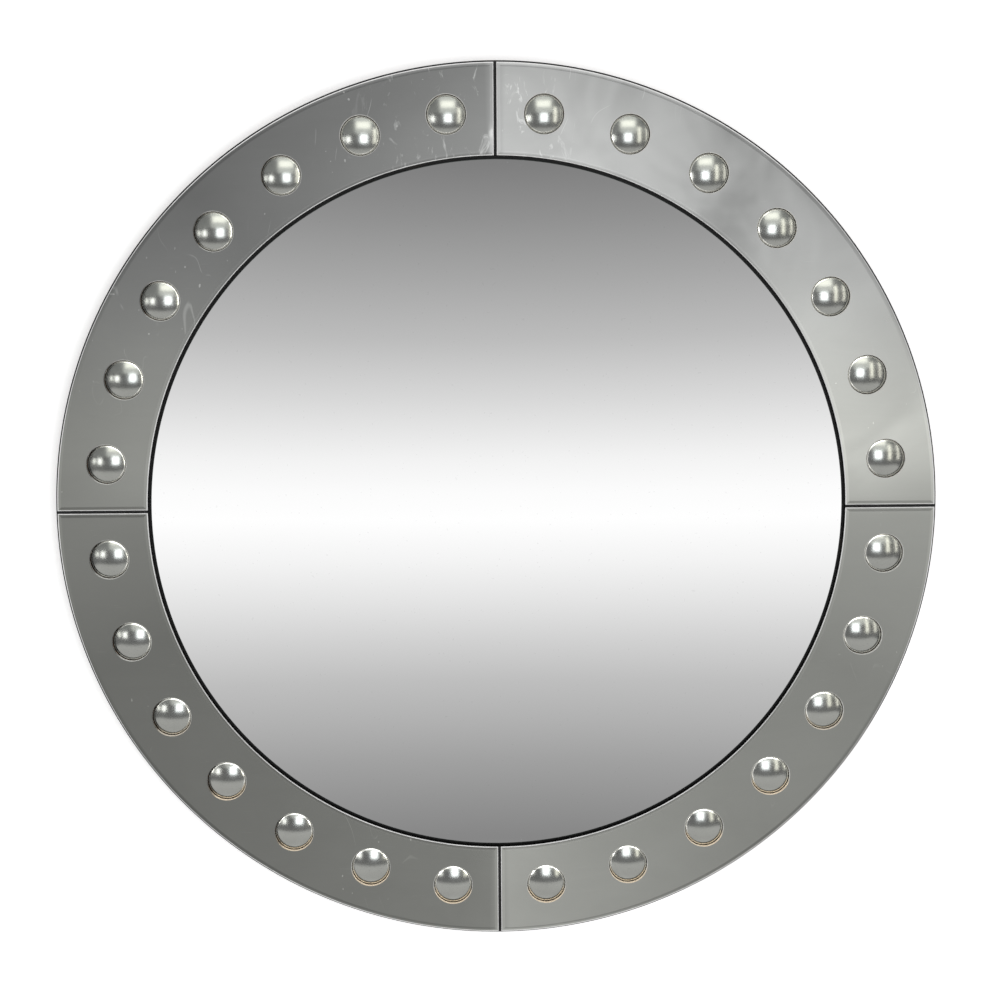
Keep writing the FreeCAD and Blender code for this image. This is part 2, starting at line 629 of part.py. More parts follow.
for item in doc.Objects:
    if "Invalid" in item.State or "Error" in item.State:
        raise RuntimeError(f"{item.Name} was not built: {item.State}")
for node in nodes:
    if node.Shape.isNull() or not node.Shape.isValid() or not node.Shape.Solids:
        raise RuntimeError(f"{node.Label} has no valid shape")

for node in nodes:
    node.Shape.exportStep(f"parts/{node.Label}.step")
    box = node.Shape.BoundBox
    print(f"{node.Label:28s} {len(node.Shape.Solids):3d} solids {node.Shape.Volume:12.1f} mm3  "
          f"y {box.YMin:7.2f} {box.YMax:7.2f}")
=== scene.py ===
"""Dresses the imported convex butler's mirror: polished steel border, domed mirrors in its holes,
bent centre glass, back and hangers, and the studio that it is shown in. Metres; the mirror faces -Y,
and depths are measured from the wall towards the viewer.
"""
import math

import bmesh
import bpy
from bpy.props import FloatProperty, FloatVectorProperty, IntProperty, PointerProperty
from mathutils import Matrix, Vector


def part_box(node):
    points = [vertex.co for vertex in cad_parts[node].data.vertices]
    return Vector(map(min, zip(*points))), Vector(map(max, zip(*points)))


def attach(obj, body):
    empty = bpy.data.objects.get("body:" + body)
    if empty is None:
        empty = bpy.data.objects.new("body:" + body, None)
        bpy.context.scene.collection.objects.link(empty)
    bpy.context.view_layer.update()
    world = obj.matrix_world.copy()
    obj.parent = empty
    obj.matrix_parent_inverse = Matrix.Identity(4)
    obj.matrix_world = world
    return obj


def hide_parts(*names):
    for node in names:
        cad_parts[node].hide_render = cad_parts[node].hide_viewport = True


bl_info = {
    "name": "Convex butler's mirror",
    "version": (1, 0, 0),
    "blender": (4, 5, 0),
    "location": "3D View > Sidebar > Mirror",
    "description": "Makes the visible pieces of a round convex butler's mirror, and its studio",
    "category": "Object",
}

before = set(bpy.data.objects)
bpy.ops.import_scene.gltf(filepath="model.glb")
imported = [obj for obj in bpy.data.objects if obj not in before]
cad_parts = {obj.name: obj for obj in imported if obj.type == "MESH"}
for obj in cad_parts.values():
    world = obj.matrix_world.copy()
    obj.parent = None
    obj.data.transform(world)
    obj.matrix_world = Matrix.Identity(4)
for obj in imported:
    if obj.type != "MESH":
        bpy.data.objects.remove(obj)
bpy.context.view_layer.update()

# The room in the small mirrors: name, place, width, height, brightness and colour of each lamp.
DOME_LAMPS = [
    ("main_window", (0.15, -3.1, 0.14), 0.85, 0.95, 17.0, (0.95, 0.98, 1.0)),
    ("left_window", (-1.75, -3.1, 0.06), 0.50, 0.70, 16.0, (1.0, 1.0, 0.97)),
    ("far_left_window", (-2.6, -3.0, 0.06), 0.36, 0.60, 13.0, (1.0, 1.0, 0.95)),
    ("right_door", (1.55, -3.1, 0.45), 0.36, 1.9, 11.5, (1.0, 0.98, 0.86)),
    ("far_right_door", (2.9, -3.1, 0.50), 0.28, 2.2, 11.5, (1.0, 0.97, 0.86)),
    ("ceiling_lamp", (0.15, -3.5, 2.0), 2.0, 0.95, 6.4, (1.0, 0.985, 0.88)),
    ("upper_wall", (0.15, -3.7, 2.1), 2.6, 3.0, 2.8, (0.98, 1.0, 0.94)),
    ("side_walls", (0.0, -3.9, 2.5), 9.0, 3.6, 1.2, (0.98, 1.0, 0.97)),
]
QUARTERS = ["upper_right", "upper_left", "lower_left", "lower_right"]
FRONT_WAY = Vector((0, -1, 0))
# Points round each form, and along each arc of a plate.
STEPS = {
    "ring": 288, "arc": 110, "hole": 96, "recess": 64, "dome": 64, "panel": 256, "foot": 56, "screw": 40,
}


# ---- sizes, finishes and studio

def metres(name, default, description):
    return FloatProperty(name=name, default=default, description=description, unit="LENGTH", precision=5)


def paint(name, default, description):
    return FloatVectorProperty(name=name, default=default, description=description, subtype="COLOR",
                               min=0, max=1)


def count(name, default, description):
    return IntProperty(name=name, default=default, description=description, min=1)


def angle(name, degrees, description):
    return FloatProperty(name=name, default=math.radians(degrees), description=description, subtype="ANGLE")


def place_of(name, default, description):
    return FloatVectorProperty(name=name, default=default, description=description, subtype="TRANSLATION",
                               unit="LENGTH")


def back_of(node):
    """Depth of a solid's back."""
    return round(-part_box(node)[1].y, 5)


def front_of(node):
    """Depth of a solid's front."""
    return round(-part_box(node)[0].y, 5)


class MirrorSizes(bpy.types.PropertyGroup):
    """Sizes of the visible pieces."""
    board_radius: metres("Ring radius", round(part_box("ring_board")[1].x, 5), "Outside of the wooden ring")
    board_bore: metres("Ring bore", 0.336, "Inner radius of the wooden ring")
    board_back: metres("Ring back", back_of("ring_board"), "Depth of the ring's back")
    board_front: metres("Ring front", front_of("ring_board"), "Depth of the ring's front")
    board_round: metres("Ring rounding", 0.0007, "Rounding of the wooden ring's edges")
    seat_radius: metres("Seat radius", 0.357, "Radius of the seat for the centre glass")
    seat_depth: metres("Seat depth", back_of("glass_pads"), "Depth of the seat for the centre glass")
    plate_outer: metres("Border radius", 0.4482, "Outer radius of the steel border")
    plate_inner: metres("Border bore", 0.3565, "Inner radius of the steel border")
    plate_back: metres("Plate back", back_of("steel_plate_upper_right"), "Depth of a plate's back")
    plate_front: metres("Plate front", front_of("steel_plate_upper_right"), "Depth of a plate's front")
    plate_joint: metres("Plate joint", 0.0026, "Gap between neighbouring plates, with its rolled edges")
    bevel_width: metres("Bevel width", 0.004, "Width of the bevel round a plate")
    bevel_drop: metres("Bevel drop", 0.001, "How far the bevel falls at the plate's edge")
    rim_round: metres("Rim rounding", 0.0005, "Rounding of the rim of each hole")
    edge_round: metres("Edge rounding", 0.0008, "Rounding of the plates' outline")
    well_circle: metres("Circle of wells", 0.400, "Radius of the circle on which the wells lie")
    well_radius: metres("Hole radius", 0.020, "Radius of a hole in a plate")
    well_pitch: angle("Well pitch", 12.66, "Angle between neighbouring wells of one plate")
    wells_per_plate: count("Wells per plate", 7, "Wells in one plate")
    recess_radius: metres("Recess radius", 0.0205, "Radius of a recess in the wood")
    recess_floor: metres("Recess floor", back_of("mirror_pads"), "Depth of a recess's floor")
    small_radius: metres("Small mirror radius", 0.0199, "Radius of a small mirror")
    small_curve: metres("Small mirror curve", 0.055, "Radius of curvature of a small mirror")
    small_back: metres("Small mirror back", front_of("mirror_pads"), "Depth of a small mirror's back")
    small_edge: metres("Small mirror edge", 0.002, "Thickness of a small mirror at its rim")
    small_round: metres("Small mirror rounding", 0.0002, "Rounding of a small mirror's rim")
    glass_radius: metres("Glass radius", 0.3535, "Radius of the centre glass")
    glass_curve: metres("Glass curve", 1.5, "Radius of curvature of the centre glass")
    glass_back: metres("Glass back", 0.025, "Depth of the centre glass's back edge")
    glass_thickness: metres("Glass thickness", 0.004, "Thickness of the centre glass")
    panel_radius: metres("Back radius", 0.442, "Radius of the hardboard back")
    panel_round: metres("Back rounding", 0.0008, "Rounding of the hardboard's edge")
    back_screw_circle: metres("Screw circle", 0.431, "Radius of the circle of the back's screws")
    back_screws: count("Back screws", 12, "Screws that hold the hardboard back")
    foot_half_angle: angle("Foot angle", 38.67, "Angle from the vertical to a rubber foot")
    foot_face: metres("Foot face", 0.0095, "Radius of a rubber foot against the wall")
    foot_base: metres("Foot base", 0.012, "Radius of a rubber foot on the hardboard")
    foot_round: metres("Foot rounding", 0.0012, "Rounding of a foot's face")
    screw_head_radius: metres("Screw head", 0.0035, "Radius of a pan head")
    screw_head_height: metres("Screw head height", 0.0022, "Height of a pan head")


class MirrorFinishes(bpy.types.PropertyGroup):
    """Colours of the finishes."""
    steel: paint("Steel", (0.985, 1.0, 0.985), "Tint of the polished steel, at the top")
    steel_warm: paint("Steel below", (0.985, 1.0, 0.935), "Tint of the polished steel, at the bottom")
    # Painted highlight, partly wear: bright colour for the plates' rolled edges.
    steel_edge_highlight: paint("Steel edge", (0.97, 0.97, 0.96), "Edges of the plates, worn bright")
    hole_edge: paint("Hole edge", (0.66, 0.66, 0.63), "Cut walls of the holes in the plates")
    # Painted light: warm colour of the lower hole walls, where they face the ceiling lamps.
    hole_painted_light: paint("Hole edge, lit", (1.0, 0.84, 0.64), "Lower walls of the lowest holes")
    glass: paint("Mirror", (0.93, 0.93, 0.93), "Silvered centre glass")
    dome: paint("Small mirror", (0.100, 0.102, 0.098), "Silvered small mirrors")
    glass_edge: paint("Glass edge", (0.035, 0.042, 0.04), "Ground edge of the glass")
    black_paint: paint("Black paint", (0.012, 0.012, 0.012), "Painted wood")
    bare_wood: paint("Bare wood", (0.62, 0.40, 0.23), "Wood in the recesses")
    hardboard: paint("Hardboard", (0.38, 0.235, 0.135), "Back")
    rubber: paint("Rubber", (0.03, 0.03, 0.031), "Feet")
    zinc: paint("Zinc", (0.60, 0.60, 0.59), "Screws and hangers")
    foam: paint("Foam tape", (0.045, 0.045, 0.047), "Tapes and pads behind the mirrors")


class MirrorStudio(bpy.types.PropertyGroup):
    """Camera and light."""
    camera_place: place_of("Camera", (-0.03161, -2.06175, 0.28283), "Where the camera stands")
    camera_aim: place_of("Aim", (-0.0004, -0.03, 0.0117), "What the camera looks at")
    camera_roll: angle("Roll", -0.35, "Camera roll")
    lens: FloatProperty(name="Lens", default=72.67, unit="CAMERA", description="Focal length")
    sensor: FloatProperty(name="Sensor", default=36.0, unit="CAMERA", description="Width of the sensor")
    room_light: FloatProperty(name="Room light", default=0.72, description="Even light from all round")
    key_power: FloatProperty(name="Key lamp", default=18.0, unit="POWER", description="Power of the lamp")
    key_size: metres("Key lamp size", 0.9, "Side of the lamp that throws the shadow")
    wall_size: metres("Wall size", 6.0, "Side of the wall and of the floor")
    wall_gap: metres("Wall gap", 0.0006, "Gap between the feet and the wall")
    floor_height: metres("Floor height", -0.78, "Height of the floor")


# ---- material nodes

def sum_of(operation, other_way=False):
    """Method that adds a Math node to a reading, or to its values the other way round."""
    def add(self, *others):
        values = (*others, self) if other_way else (self, *others)
        return self.finish.node("ShaderNodeMath", {"operation": operation}, dict(enumerate(values)))
    return add


class Reading:
    """Socket that takes part in sums. Each sum adds a Math node."""

    def __init__(self, finish, socket):
        self.finish = finish
        self.socket = socket

    __add__ = __radd__ = sum_of("ADD")
    __mul__ = __rmul__ = sum_of("MULTIPLY")
    __sub__, __rsub__ = sum_of("SUBTRACT"), sum_of("SUBTRACT", True)
    __truediv__, __rtruediv__ = sum_of("DIVIDE"), sum_of("DIVIDE", True)
    __abs__, root = sum_of("ABSOLUTE"), sum_of("SQRT")
    at_most, at_least = sum_of("MINIMUM"), sum_of("MAXIMUM")
    angle_over = sum_of("ARCTAN2")

    def ramp(self, low, high):
        """0 below low, 1 above high, smooth between; the other way round when low is the larger."""
        start, end, first, last = (low, high, 0.0, 1.0) if low < high else (high, low, 1.0, 0.0)
        return self.finish.node("ShaderNodeMapRange", {"interpolation_type": "SMOOTHSTEP"}, {
            "Value": self, "From Min": start, "From Max": end, "To Min": first, "To Max": last})


class Finish:
    """Material, and the one way in which nodes are added to it."""

    def __init__(self, name, world=None):
        self.material = world or bpy.data.materials.new(name)
        self.material.use_nodes = True
        self.tree = self.material.node_tree
        self.tree.nodes.clear()

    def node(self, kind, settings=None, sockets=None, out=0):
        """Adds a node and returns one output of it, a list of them, or nothing when out is None.

        A ramp's stops are (place, grey) pairs among its settings.
        """
        node = self.tree.nodes.new(kind)
        stops = (settings or {}).pop("stops", None)
        for name, setting in (settings or {}).items():
            setattr(node, name, setting)
        if stops:
            self._set_stops(node.color_ramp, stops)
        for name, given in (sockets or {}).items():
            self.feed(node.inputs[name], given)
        if isinstance(out, tuple):
            return [Reading(self, node.outputs[name]) for name in out]
        return None if out is None else Reading(self, node.outputs[out])

    def _set_stops(self, ramp, stops):
        while len(ramp.elements) < len(stops):
            ramp.elements.new(1.0)
        for element, (place, tone) in zip(ramp.elements, stops):
            element.position = place
            element.color = (tone, tone, tone, 1.0)

    def feed(self, socket, given):
        if isinstance(given, Reading):
            self.tree.links.new(given.socket, socket)
        elif socket.type == "RGBA" and len(given) == 3:
            socket.default_value = (*given, 1.0)
        else:
            socket.default_value = given

    def place(self):
        return self.node("ShaderNodeTexCoord", out=3)

    def axes(self, place):
        return self.node("ShaderNodeSeparateXYZ", None, {0: place}, (0, 1, 2))

    def vector(self, x, y, z):
        return self.node("ShaderNodeCombineXYZ", None, {0: x, 1: y, 2: z})

    def attribute(self, name):
        return self.node("ShaderNodeAttribute", {"attribute_name": name}, out=2)

    def ray_kinds(self):
        """1 on what the camera sees directly, and 1 on what is seen in a mirror."""
        return self.node("ShaderNodeLightPath", out=("Is Camera Ray", "Is Glossy Ray"))

    def noise(self, place, scale, detail=2.0, roughness=0.5, distortion=0.0):
        return self.node("ShaderNodeTexNoise", {"noise_dimensions": "3D"}, {
            "Vector": place, "Scale": scale, "Detail": detail, "Roughness": roughness,
            "Distortion": distortion})

    def mixed(self, amount, first, second):
        return self.node("ShaderNodeMix", {"data_type": "RGBA"}, {0: amount, 6: first, 7: second}, 2)

    def scaled(self, colour, amount):
        """Colour made lighter or darker by a number that varies."""
        return self.node("ShaderNodeVectorMath", {"operation": "SCALE"}, {0: colour, "Scale": amount})

    def bump(self, height, depth, normal=None):
        """Normal of a surface raised by height, 0 to 1, times a depth in metres."""
        sockets = {"Height": height, "Strength": 1.0, "Distance": depth}
        if normal is not None:
            sockets["Normal"] = normal
        return self.node("ShaderNodeBump", None, sockets)

    def surface(self, **sockets):
        named = {name.replace("_", " ").title(): given for name, given in sockets.items()}
        return self.close(self.node("ShaderNodeBsdfPrincipled", None, named))

    def grained(self, colour, grain, roughness, spread, depth):
        """Surface whose roughness and relief follow one grain."""
        return self.surface(base_color=colour, roughness=roughness + spread * grain,
                            normal=self.bump(grain, depth))

    def close(self, shader, kind="ShaderNodeOutputMaterial"):
        """Joins a shader to the output of the material, or of the world."""
        self.node(kind, None, {"Surface": shader}, None)
        return self.material


def opened(name):
    """New finish, the colours, and the Object coordinates that its patterns follow."""
    finish = Finish(name)
    return finish, bpy.context.scene.mirror_finishes, finish.place()


def polished_steel():
    """Border plates: hand polished, hazy, scratched. Their tones round the mirror, bright patches and
    gradients are painted reflections of the room; the bright bevels and edges are painted highlights, the
    edges partly wear.
    """
    sizes = bpy.context.scene.mirror_sizes
    finish, colours, place = opened("polished_steel")
    x, y, z = finish.axes(place)
    radius = (x * x + z * z).root()
    turn = z.angle_over(x) / (2 * math.pi) + 0.5

    # Painted reflection: a grey level for each turn round the mirror, with a jump at each joint, stands in
    # for the room reflected in each plate.
    tone = finish.node("ShaderNodeValToRGB", {"stops": [
        (0.000, 0.205), (0.060, 0.150), (0.115, 0.165), (0.165, 0.190), (0.235, 0.225), (0.2495, 0.255),
        (0.2505, 0.420), (0.290, 0.345), (0.350, 0.265), (0.430, 0.235), (0.480, 0.290), (0.4995, 0.320),
        (0.5005, 0.390), (0.514, 0.430), (0.532, 0.565), (0.585, 0.590), (0.640, 0.365), (0.690, 0.500),
        (0.7495, 0.590), (0.7505, 0.320), (0.800, 0.235), (0.870, 0.172), (0.930, 0.235), (0.980, 0.260),
        (1.000, 0.240),
    ]}, {0: turn})
    clouds = finish.noise(place, 7.0, 3.0, 0.55, 0.6)
    smears = finish.noise(finish.vector(x * 9.0, y, z * 26.0), 1.0, 4.0, 0.6, 1.4)
    # Painted reflection: brighter cloudy patches on the upper right plate, which is also made a little
    # darker overall.
    upper_right = (x.ramp(-0.01, 0.02) * z.ramp(0.0, 0.05)).at_most(1.0)
    painted_reflection_patches = clouds.ramp(0.40, 0.66) * upper_right
    inward = radius.ramp(0.45, 0.36)
    haze = 0.94 + 0.26 * clouds + 0.14 * smears
    upper = z.ramp(-0.03, 0.03)
    # Painted reflection: the upper plates are lighter towards the glass and darker outwards.
    across = 1.02 + upper * (0.17 * inward - 0.10)
    # Lightness of the steel: painted reflections times the haze of its smudged polish.
    light = tone * haze * across + 0.14 * painted_reflection_patches - 0.04 * upper_right

    rubbed = finish.noise(place, 5.0, 1.0).ramp(0.50, 0.62)
    near_top = (x.ramp(-0.17, -0.03) * x.ramp(0.10, 0.02) * z.ramp(0.30, 0.36)).at_most(1.0)
    swirl = finish.noise(finish.vector(x * 1.0, y, z * 0.45), 17.0, 1.0, 0.4, 1.1)
    broken = finish.noise(place, 34.0, 2.0).ramp(0.50, 0.60)
    hair = abs(swirl - 0.5).ramp(0.0060, 0.0010) * broken
    blots = finish.noise(finish.vector(x * 1.9, y, z * 0.8), 48.0, 4.0, 0.65, 0.8).ramp(0.60, 0.70)
    chip = x.ramp(-0.0080, -0.0050) * x.ramp(-0.0010, -0.0026) * z.ramp(0.392, 0.380) * near_top
    scratches = (hair * (rubbed * 0.30 + near_top * 0.95).at_most(1.0) + blots * near_top * 0.75
                 + chip * (0.30 + 0.7 * broken))
    fine = finish.noise(finish.vector(x * 40.0, y, z * 900.0), 1.0, 2.0).ramp(0.66, 0.78)
    nicks = finish.noise(place, 210.0, 0.0).ramp(0.835, 0.85) * rubbed

    def near_edge(width):
        """1 within a width of the plate's outline."""
        outer = radius.ramp(sizes.plate_outer - width * 1.05, sizes.plate_outer - width * 0.85)
        inner = radius.ramp(sizes.plate_inner + width * 1.05, sizes.plate_inner + width * 0.85)
        half = sizes.plate_joint / 2 + width
        return outer.at_least(inner).at_least(abs(x).at_most(abs(z)).ramp(half * 1.04, half * 0.9))

    # Painted highlight: the steel is made brighter over the width of the bevels round each plate.
    bevel = near_edge(sizes.bevel_width)
    # Painted highlight, partly wear: the rolled edges take the bright edge colour instead of the plate's
    # tone.
    arris = near_edge(sizes.edge_round * 1.3)
    worn = (0.70 + 0.55 * finish.noise(place, 60.0, 2.0)).at_most(1.0)

    level = (light * (1.0 + 0.14 * bevel) + 0.45 * scratches + 0.03 * fine + 0.25 * nicks).at_least(0.05)
    plain = finish.scaled(finish.mixed(z.ramp(0.30, 0.05), colours.steel, colours.steel_warm), level)
    edge = finish.scaled(colours.steel_edge_highlight, worn)
    roughness = 0.22 + 0.12 * clouds + 0.14 * scratches + 0.05 * smears
    swell = finish.bump(finish.noise(place, 5.5, 1.0), 0.0016)
    normal = finish.bump(fine * 0.3 + scratches - nicks, 0.00002, swell)
    return finish.surface(
        base_color=finish.mixed(arris, plain, edge), metallic=1.0,
        roughness=roughness + arris * 0.10, normal=normal)


def hole_edge():
    """Cut walls of the holes, with painted light: warm and bright on the lower walls of the lowest holes,
    and painted shade on the left walls of the left ones.
    """
    finish, colours, place = opened("hole_edge")
    low, left = finish.attribute("lower_side"), finish.attribute("left_side")
    x, y, z = finish.axes(place)
    grain = finish.noise(place, 700.0, 2.0)
    # Painted light on the lower walls of the lowest holes, and painted shade on the left walls of the left
    # holes.
    painted_light_below = low.ramp(0.05, 0.55) * z.ramp(-0.16, -0.30)
    painted_shade_left = left.ramp(0.1, 0.8) * low.ramp(0.95, 0.5) * x.ramp(-0.12, -0.26)
    tint = finish.mixed(painted_light_below, colours.hole_edge, colours.hole_painted_light)
    shade = (0.90 - 0.78 * painted_shade_left) * (0.85 + 0.15 * grain)
    return finish.grained(finish.scaled(tint, shade), grain, 0.42, 0.2, 0.00004)


def mirror_glass():
    """Silvering of the centre glass."""
    finish, colours, place = opened("mirror_glass")
    film = finish.noise(place, 4.0, 3.0)
    specks = finish.noise(place, 420.0, 0.0).ramp(0.80, 0.83)
    tint = finish.scaled(colours.glass, 0.992 + 0.012 * film - 0.05 * specks)
    return finish.surface(base_color=tint, metallic=1.0, roughness=0.012 + 0.012 * film + 0.1 * specks)


def small_mirror_glass():
    """Silvering of the small mirrors, with a painted reflection: a bright ring at the rim stands for the
    holes' walls seen in it, brighter still on the lower outer side of the lowest mirrors as painted light.
    """
    sizes = bpy.context.scene.mirror_sizes
    finish, colours, place = opened("small_mirror_glass")
    film = finish.noise(place, 60.0, 3.0, 0.6, 0.5)
    spots = finish.noise(place, 900.0, 0.0).ramp(0.74, 0.79)
    x, y, z = finish.axes(place)
    from_middle = finish.attribute("from_middle")
    outward = ((x * x + z * z).root() - sizes.well_circle) / sizes.small_radius
    # Painted light: lit marks the outer side of the lowest mirrors, where the ring is brighter.
    lit = outward.ramp(0.10, 0.60) * z.ramp(-0.16, -0.30)
    # Painted reflection: a light grey ring near the rim.
    rim = from_middle.ramp(0.875, 0.925) * (0.80 + 0.20 * lit)
    tint = finish.mixed(rim, colours.dome, (0.86, 0.85, 0.81))
    return finish.surface(
        base_color=finish.scaled(tint, 0.92 + 0.16 * film - 0.2 * spots), metallic=1.0,
        roughness=(0.165 + 0.05 * film) * (1.0 - 0.4 * rim), normal=finish.bump(film, 0.00006))


def glass_edge():
    finish, colours, place = opened("ground_glass_edge")
    grit = finish.noise(place, 900.0, 2.0)
    return finish.grained(finish.scaled(colours.glass_edge, 0.7 + 0.6 * grit), grit, 0.35, 0.2, 0.00005)


def black_paint():
    finish, colours, place = opened("black_paint")
    brushed = finish.noise(place, 70.0, 3.0)
    rubbed = finish.noise(place, 18.0, 4.0, 0.6).ramp(0.60, 0.74)
    tint = finish.mixed(rubbed * 0.35, colours.black_paint, (0.055, 0.042, 0.03))
    return finish.grained(finish.scaled(tint, 0.7 + 0.6 * brushed), brushed, 0.42, 0.18, 0.00025)


def bare_wood():
    finish, colours, place = opened("bare_wood")
    x, y, z = finish.axes(place)
    layers = finish.noise(finish.vector(x * 8.0, y * 900.0, z * 8.0), 1.0, 1.0, 0.4)
    fibre = finish.noise(finish.vector(x * 260.0, y * 60.0, z * 260.0), 1.0, 3.0)
    tint = finish.mixed(layers.ramp(0.40, 0.62), finish.scaled(colours.bare_wood, 0.80 + 0.35 * fibre),
                        finish.scaled(colours.bare_wood, 0.48 + 0.3 * fibre))
    return finish.grained(tint, fibre, 0.62, 0.15, 0.0002)


def hardboard():
    finish, colours, place = opened("hardboard")
    x, y, z = finish.axes(place)
    fibre = finish.noise(place, 240.0, 5.0, 0.7, 1.0)
    mottle = finish.noise(place, 9.0, 4.0, 0.6)
    flecks = finish.noise(finish.vector(x * 300.0, y * 300.0, z * 90.0), 1.0, 2.0).ramp(0.62, 0.72)
    tint = finish.mixed(flecks * 0.5, finish.scaled(colours.hardboard, 0.62 + 0.35 * fibre + 0.35 * mottle),
                        (0.52, 0.37, 0.24))
    return finish.grained(tint, fibre, 0.60, 0.25, 0.0003)


def black_rubber():
    finish, colours, place = opened("black_rubber")
    grain = finish.noise(place, 900.0, 3.0)
    dust = finish.noise(place, 70.0, 4.0).ramp(0.50, 0.72)
    tint = finish.mixed(dust * 0.3, colours.rubber, (0.09, 0.088, 0.083))
    return finish.grained(tint, grain, 0.62, 0.2, 0.00008)


def zinc_plate():
    finish, colours, place = opened("zinc_plate")
    x, y, z = finish.axes(place)
    spangle = finish.noise(place, 320.0, 2.0)
    drawn = finish.noise(finish.vector(x * 1500.0, y * 1500.0, z * 60.0), 1.0, 2.0)
    yellow = finish.noise(place, 45.0, 3.0).ramp(0.45, 0.75)
    tint = finish.mixed(yellow * 0.35, colours.zinc, (0.62, 0.56, 0.42))
    return finish.surface(
        base_color=finish.scaled(tint, 0.78 + 0.2 * spangle + 0.15 * drawn), metallic=1.0,
        roughness=0.26 + 0.2 * spangle, normal=finish.bump(drawn, 0.00003))


def foam_tape():
    finish, colours, place = opened("foam_tape")
    cells = finish.noise(place, 1400.0, 2.0)
    return finish.grained(finish.scaled(colours.foam, 0.6 + 0.8 * cells), cells, 0.85, 0.1, 0.0001)


# ---- mesh helpers

def round_loop(radius, depth, steps, centre=(0.0, 0.0)):
    """Points of a circle that faces the viewer, at a depth from the wall."""
    turns = [2 * math.pi * step / steps for step in range(steps)]
    return [Vector((centre[0] + radius * math.cos(turn), -depth, centre[1] + radius * math.sin(turn)))
            for turn in turns]


def linked(name, data):
    """New object in the scene."""
    item = bpy.data.objects.new(name, data)
    bpy.context.scene.collection.objects.link(item)
    return item


def add_loop(mesh, points):
    return [mesh.verts.new(point) for point in points]


def join_loops(mesh, first, second, slot=0):
    """Wall between two loops of as many points, or a fan where one of them is a single point."""
    for index in range(max(len(first), len(second))):
        near, far = [(loop[index % len(loop)], loop[(index + 1) % len(loop)]) for loop in (first, second)]
        face = mesh.faces.new(list(dict.fromkeys((*near, *far[::-1]))))
        face.material_index = slot
        face.smooth = True


def fill_sheet(mesh, loops):
    """Flat sheet inside the first loop, with the other loops as holes."""
    edges = []
    for loop in loops:
        for index, point in enumerate(loop):
            ends = (point, loop[(index + 1) % len(loop)])
            edges.append(mesh.edges.get(ends) or mesh.edges.new(ends))
    bmesh.ops.triangle_fill(mesh, use_beauty=True, use_dissolve=False, edges=edges, normal=FRONT_WAY)


def mark_sharp(mesh, rows, indices):
    """Keeps the edges that run through the corners of a pile of loops sharp."""
    for first, second in zip(rows, rows[1:]):
        for index in indices:
            mesh.edges.get((first[index], second[index])).smooth = False


def new_piece(name, mesh, materials):
    """Object at the origin from a finished bmesh, with its faces pointing outwards."""
    bmesh.ops.recalc_face_normals(mesh, faces=mesh.faces)
    data = bpy.data.meshes.new(name)
    mesh.to_mesh(data)
    mesh.free()
    for material in materials:
        data.materials.append(material)
    return linked(name, data)


def settle(piece):
    """Turns a piece with modifiers into a plain mesh."""
    depsgraph = bpy.context.evaluated_depsgraph_get()
    data = bpy.data.meshes.new_from_object(piece.evaluated_get(depsgraph), depsgraph=depsgraph)
    piece.modifiers.clear()
    piece.data = data
    data.name = piece.name
    return piece


def lathe(mesh, profile, steps, centre=(0.0, 0.0), slots=None):
    """Closed form turned about an axis that faces the viewer; profile holds (radius, depth) pairs."""
    rows = [add_loop(mesh, round_loop(radius, depth, steps if radius else 1, centre))
            for radius, depth in profile]
    for number, (first, second) in enumerate(zip(rows, rows[1:])):
        join_loops(mesh, first, second, slots[number] if slots else 0)


def rounded_corner(radius, depth, size, start, steps=4):
    """Profile points of a rounded corner about its centre, from a start angle over a quarter turn."""
    return [(radius + size * math.cos(start + turn * math.pi / 2 / steps),
             depth + size * math.sin(start + turn * math.pi / 2 / steps)) for turn in range(steps + 1)]


def stand_for(piece, body, slot, *nodes, sharp=None):
    """Gives a piece its body and the nodes it replaces; edges past an angle in degrees stay sharp. The slot
    is not used.
    """
    if sharp:
        piece.data.set_sharp_from_angle(angle=math.radians(sharp))
    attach(piece, body)
    if nodes:
        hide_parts(*nodes)


# ---- repeated pieces

